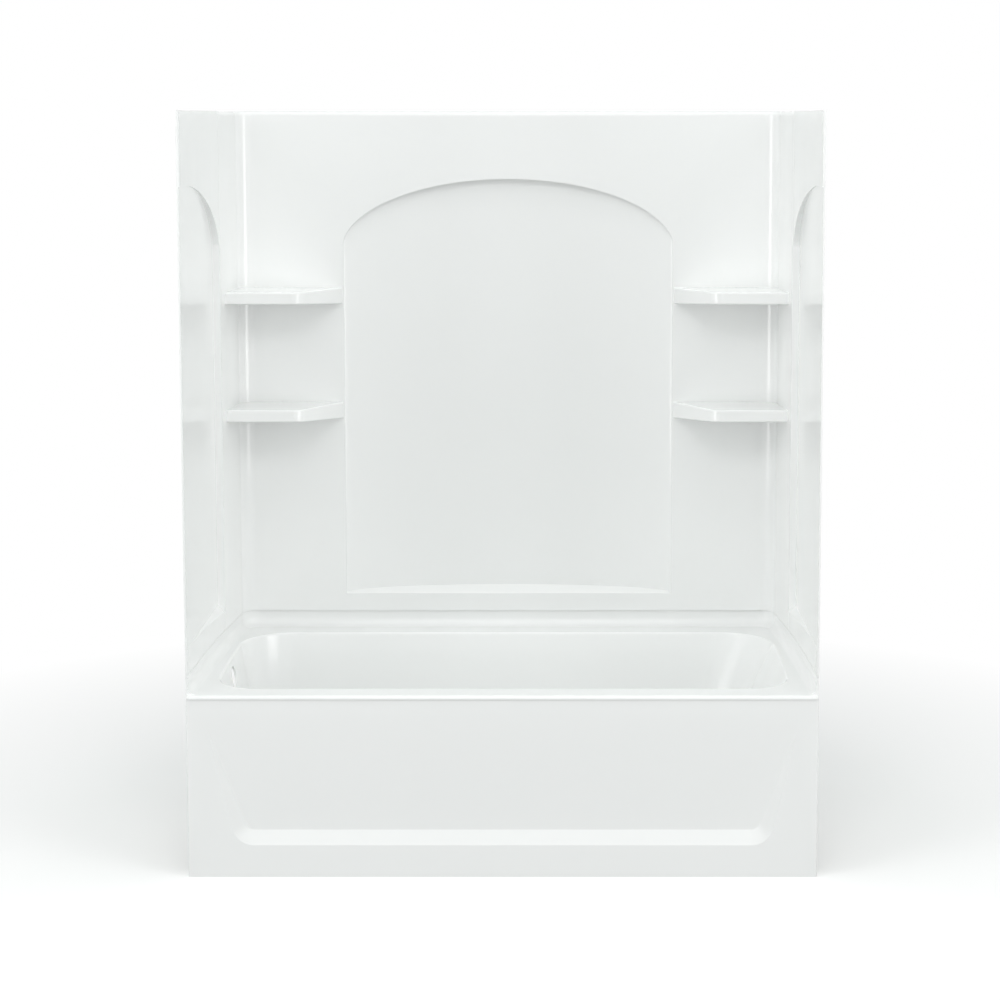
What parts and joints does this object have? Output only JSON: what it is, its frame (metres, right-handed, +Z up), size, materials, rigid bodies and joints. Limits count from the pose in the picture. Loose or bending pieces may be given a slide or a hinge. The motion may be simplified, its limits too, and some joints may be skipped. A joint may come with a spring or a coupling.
{
  "type": "tub and shower unit",
  "caption": "White alcove bath with a sunken-panel front, an arched-niche back wall with corner shelves, and two end walls.",
  "frame": {"origin": "on the floor, at the middle of the unit's width and depth", "axes": "+X along the bath from the drain end on the left to the sloped end, +Y from the open front to the back wall, +Z up"},
  "size_m": [1.524, 0.813, 1.848],
  "materials": {
    "bath_gloss": "high-gloss white moulding",
    "wall_gloss": "high-gloss white moulding",
    "seal": "satin white soft sealant strip",
    "fixing": "zinc-plated steel",
    "board": "raw chipboard",
    "timber": "sawn softwood"
  },
  "bodies": {
    "root": {"bath": "bath_gloss", "back_wall": "wall_gloss", "left_end_wall": "wall_gloss", "right_end_wall": "wall_gloss", "back_ledge_seal": "seal", "left_ledge_seal": "seal", "right_ledge_seal": "seal", "left_joint_seal": "seal", "right_joint_seal": "seal", "joint_bolts": "fixing", "joint_washers": "fixing", "joint_nuts": "fixing", "floor_board": "board", "front_runner": "timber", "rear_runner": "timber", "front_rim_batten": "timber", "rear_rim_batten": "timber", "left_apron_post": "timber", "centre_apron_post": "timber", "right_apron_post": "timber", "left_wall_batten": "timber", "right_wall_batten": "timber", "top_wall_batten": "timber"}
  },
  "joints": []
}
